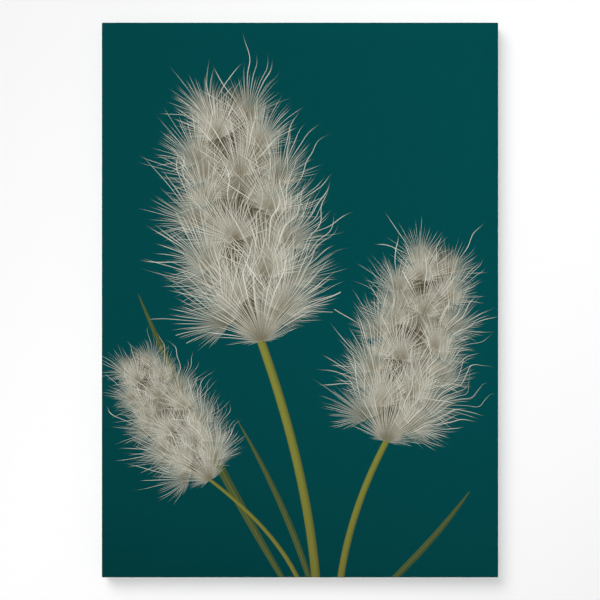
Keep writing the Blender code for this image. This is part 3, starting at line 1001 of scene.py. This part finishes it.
for side in ("left", "right"):
    low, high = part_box(f"felt_bumper_{side}")
    centre = (low + high) / 2
    radius, depth = (high.x - low.x) / 2 - PILE_ROOM, high.y - low.y - PILE_ROOM
    clear_selection()
    bpy.ops.mesh.primitive_cylinder_add(
        vertices=48, radius=radius, depth=depth, end_fill_type="NGON",
        location=centre, rotation=(math.radians(90), 0, 0),
    )
    pad = begin(f"felt_pad_{side}")
    pick(pad, "faces", lambda c, n: abs(n.y) > 0.9)
    for ring in RINGS:
        bpy.ops.mesh.inset(thickness=ring)
    bpy.ops.mesh.poke()
    pick(pad, "edges", lambda c: abs(abs(c.y - centre.y) - depth / 2) < TOUCH
         and math.hypot(c.x - centre.x, c.z - centre.z) > radius - PILE_ROOM)
    bpy.ops.mesh.bevel(offset=RIM, segments=3, affect="EDGES")
    bpy.ops.mesh.select_all(action="SELECT")
    bpy.ops.mesh.subdivide(number_cuts=2, smoothness=0.0)
    bpy.ops.mesh.remove_doubles(threshold=MERGE)
    bpy.ops.mesh.normals_make_consistent(inside=False)
    bpy.ops.object.mode_set(mode="OBJECT")
    pile = bpy.data.textures.new(f"pile_{side}", "CLOUDS")
    pile.noise_scale, pile.noise_depth = PILE_GRAIN, 3
    fuzz = pad.modifiers.new("fuzz", "DISPLACE")
    fuzz.texture, fuzz.strength, fuzz.mid_level = pile, PILE, 0.5
    bpy.ops.object.modifier_apply(modifier=fuzz.name)
    bpy.ops.object.shade_smooth_by_angle(angle=math.radians(60))
    pad.data.materials.append(grey_felt)
    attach(pad, "root")
    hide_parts(f"felt_bumper_{side}")
    print(pad.name, len(pad.data.polygons), "faces")

# %% [markdown]
# ## Wall, floor, light and camera
# The panel hangs on a pale wall. A lamp high to the left throws its shadow low on the right,
# and it is a broad one, because a small one would give the shadow a hard edge. A small lamp in
# front evens the light over wall and face, and one behind shows the back when the view is taken
# from there. A pale sky fills the rest. Seen from behind, the wall lets the view through.
# The paint of the wall is darkened towards two corners as painted shade, and the floor glows a
# little as painted light.

# %% Plaster
# The dimmer paint is painted shade: it darkens the wall towards the upper left and the lower
# right, where the lamps' light falls off.
PAINT, WALL_PAINTED_SHADE = rgb(254, 254, 254), rgb(238, 238, 238)
FLOOR_PAINT = rgb(238, 237, 235)
DIAGONAL_DROP = 0.14  # how far below the panel's middle the brightest line of the wall crosses


def plaster(name, tone, painted_glow=0.0):
    """Matte paint with the faint grain of a roller. Where a glow is given, the paint gives off
    painted light of its own colour.
    """
    made, tree, shader = finish_of(name, specular=0.0)
    shader["Base Color"].default_value = shader["Emission Color"].default_value = tone
    shader["Emission Strength"].default_value = painted_glow
    shader["Roughness"].default_value = 0.9
    grain = noise(tree, add(tree, "TexCoord", output="Object"), 350.0, detail=3.0)
    feed(tree, shader["Normal"], bump(tree, grain, distance=0.0001, strength=0.15))
    return made, tree, shader


def paint_shade_in_two_corners(tree, shader):
    """Painted shade: let the paint grow a little dimmer to both sides of a rising diagonal,
    towards the upper left and the lower right, where the lamps' light falls off.
    """
    x, _, z = split(tree, add(tree, "TexCoord", output="Object"))
    off = (z - MIDDLE.z - x + DIAGONAL_DROP).absolute().smooth(0.1, 1.2)
    feed(tree, shader["Base Color"], blend(tree, off, PAINT, WALL_PAINTED_SHADE))


def clear_from_behind(tree):
    """Let the view pass through the back of the paint."""
    behind = add(tree, "NewGeometry", output="Backfacing")
    clear = add(tree, "BsdfTransparent")
    painted = tree.nodes["Principled BSDF"].outputs[0]
    either = add(tree, "MixShader", {0: behind, 1: painted, 2: clear})
    feed(tree, tree.nodes["Material Output"].inputs["Surface"], either)


# %% Wall and floor
WALL_GAP = 0.0004  # between the wall and the bumpers
WALL_SIZE, FLOOR_SIZE = (7, 3.5), (80, 80)
FLOOR_Z = MIDDLE.z - 1.5  # the panel hangs at the height of the eyes


def backdrop(name, place, turn, size, finish):
    """A flat sheet of plaster that is seen, but neither shades nor tints the panel."""
    clear_selection()
    bpy.ops.mesh.primitive_plane_add(size=1, location=place, rotation=(math.radians(turn), 0, 0))
    made = bpy.context.object
    made.name, made.scale = name, (*size, 1)
    bpy.ops.object.transform_apply(location=True, rotation=True, scale=True)
    made.data.materials.append(finish)
    for ray in ("shadow", "diffuse", "glossy", "transmission"):
        setattr(made, f"visible_{ray}", False)
    return made


wall_paint, tree, shader = plaster("pale_wall", PAINT)
paint_shade_in_two_corners(tree, shader)
clear_from_behind(tree)
# Painted light: the floor glows a little, which brightens it evenly.
floor_paint, _, _ = plaster("pale_floor", FLOOR_PAINT, painted_glow=0.3)
wall = backdrop("wall", (0, WALL_GAP, FLOOR_Z + WALL_SIZE[1] / 2), 90, WALL_SIZE, wall_paint)
floor = backdrop("floor", (0, 0, FLOOR_Z), 0, FLOOR_SIZE, floor_paint)
print("floor at", round(FLOOR_Z, 3), "m")

# %% Sky
FRONT_SKY, WALL_SKY = 0.16, 0.75  # light from the room, and light thrown back by the wall
SEEN_SKY = 0.92
WHITE = (1, 1, 1, 1)

world = bpy.data.worlds.new("studio")
bpy.context.scene.world = world
world.use_nodes = True
sky = world.node_tree
for leftover in list(sky.nodes):
    sky.nodes.remove(leftover)
ahead = split(sky, add(sky, "TexCoord", output="Generated"))[1]
fill = ranged(ahead, -0.1, 0.3, FRONT_SKY, WALL_SKY, "SMOOTHSTEP")
lit_by = add(sky, "Background", {"Color": WHITE, "Strength": fill})
seen = add(sky, "Background", {"Color": WHITE, "Strength": SEEN_SKY})
direct = add(sky, "LightPath", output="Is Camera Ray")
both = add(sky, "MixShader", {0: direct, 1: lit_by, 2: seen})
feed(sky, sky.nodes.new("ShaderNodeOutputWorld").inputs["Surface"], both)
print("sky with", len(sky.nodes), "nodes")

# %% Lamps
def lamp(name, place, size, share):
    """A square lamp that faces the panel. Share is how much of a full white it gives the wall."""
    bpy.ops.object.light_add(type="AREA", location=place)
    made = bpy.context.object
    made.name = name
    line = Vector((0, 0, MIDDLE.z)) - Vector(place)
    slant = abs(line.y) / line.length
    made.data.size = size
    made.data.energy = share * (math.pi * line.length) ** 2 / slant
    made.rotation_euler = line.to_track_quat("-Z", "Y").to_euler()
    made.visible_camera = False
    print(name, round(made.data.energy), "W")


lamp("broad_lamp", place=(-3.3, -6.6, MIDDLE.z + 5.2), size=5.6, share=0.41)
lamp("front_lamp", place=(0, -6.5, MIDDLE.z), size=0.9, share=0.50)
lamp("back_lamp", place=(-1.2, 2.6, MIDDLE.z + 1.6), size=1.6, share=0.15)

# %% Camera
LENS, SEEN_WIDTH = 85.0, 0.7567  # the focal length in mm, and the metres seen across at the face

camera = bpy.data.objects.new("camera", bpy.data.cameras.new("camera"))
bpy.context.scene.collection.objects.link(camera)
camera.data.lens = LENS
away = SEEN_WIDTH * LENS / camera.data.sensor_width
camera.location = (0, FACE - away, MIDDLE.z)
camera.rotation_euler = (math.radians(90), 0, 0)
bpy.context.scene.camera = camera
bpy.context.scene.view_settings.view_transform = "Standard"
print(f"camera {away:.3f} m from the face")
